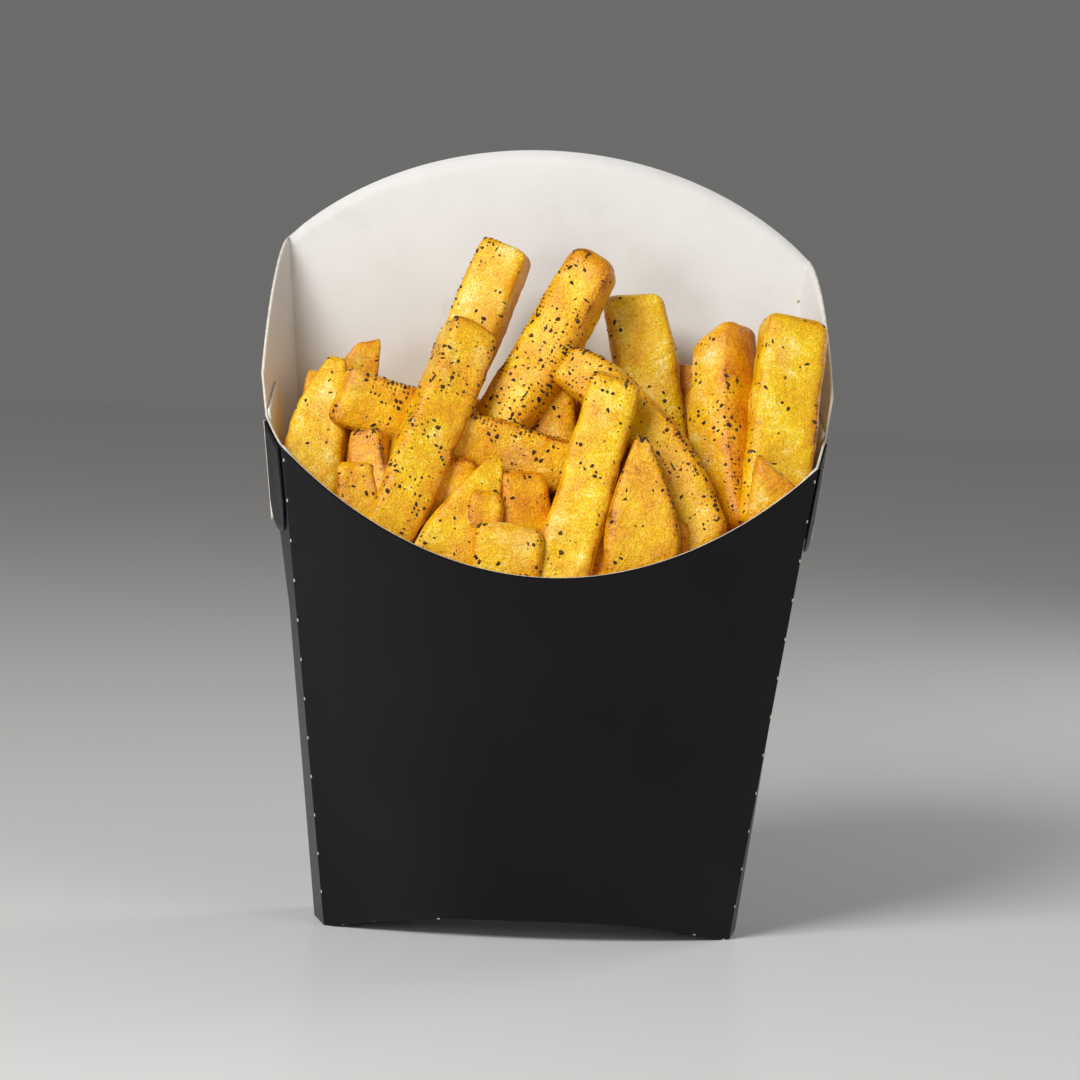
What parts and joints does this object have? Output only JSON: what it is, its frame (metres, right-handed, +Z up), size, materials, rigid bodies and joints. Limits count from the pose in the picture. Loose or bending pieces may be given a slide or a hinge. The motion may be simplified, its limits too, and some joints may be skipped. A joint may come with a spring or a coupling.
{
  "type": "french fries in a carton",
  "caption": "Thick-cut french fries dusted with herbs and pepper, standing in a black folded paperboard scoop with a high arched back and a concave front rim.",
  "frame": {"origin": "middle of the outline at the level the carton stands on", "axes": "+Z up, +Y towards the carton's high back panel, +X to the right seen from the front"},
  "size_m": [0.1218, 0.0692, 0.1663],
  "materials": {
    "carton": "satin black outside, plain white inside",
    "fries": "fried golden potato with browned edges and a herb and pepper dusting"
  },
  "bodies": {
    "root": {"carton": "carton", "fries": "fries"}
  },
  "joints": []
}
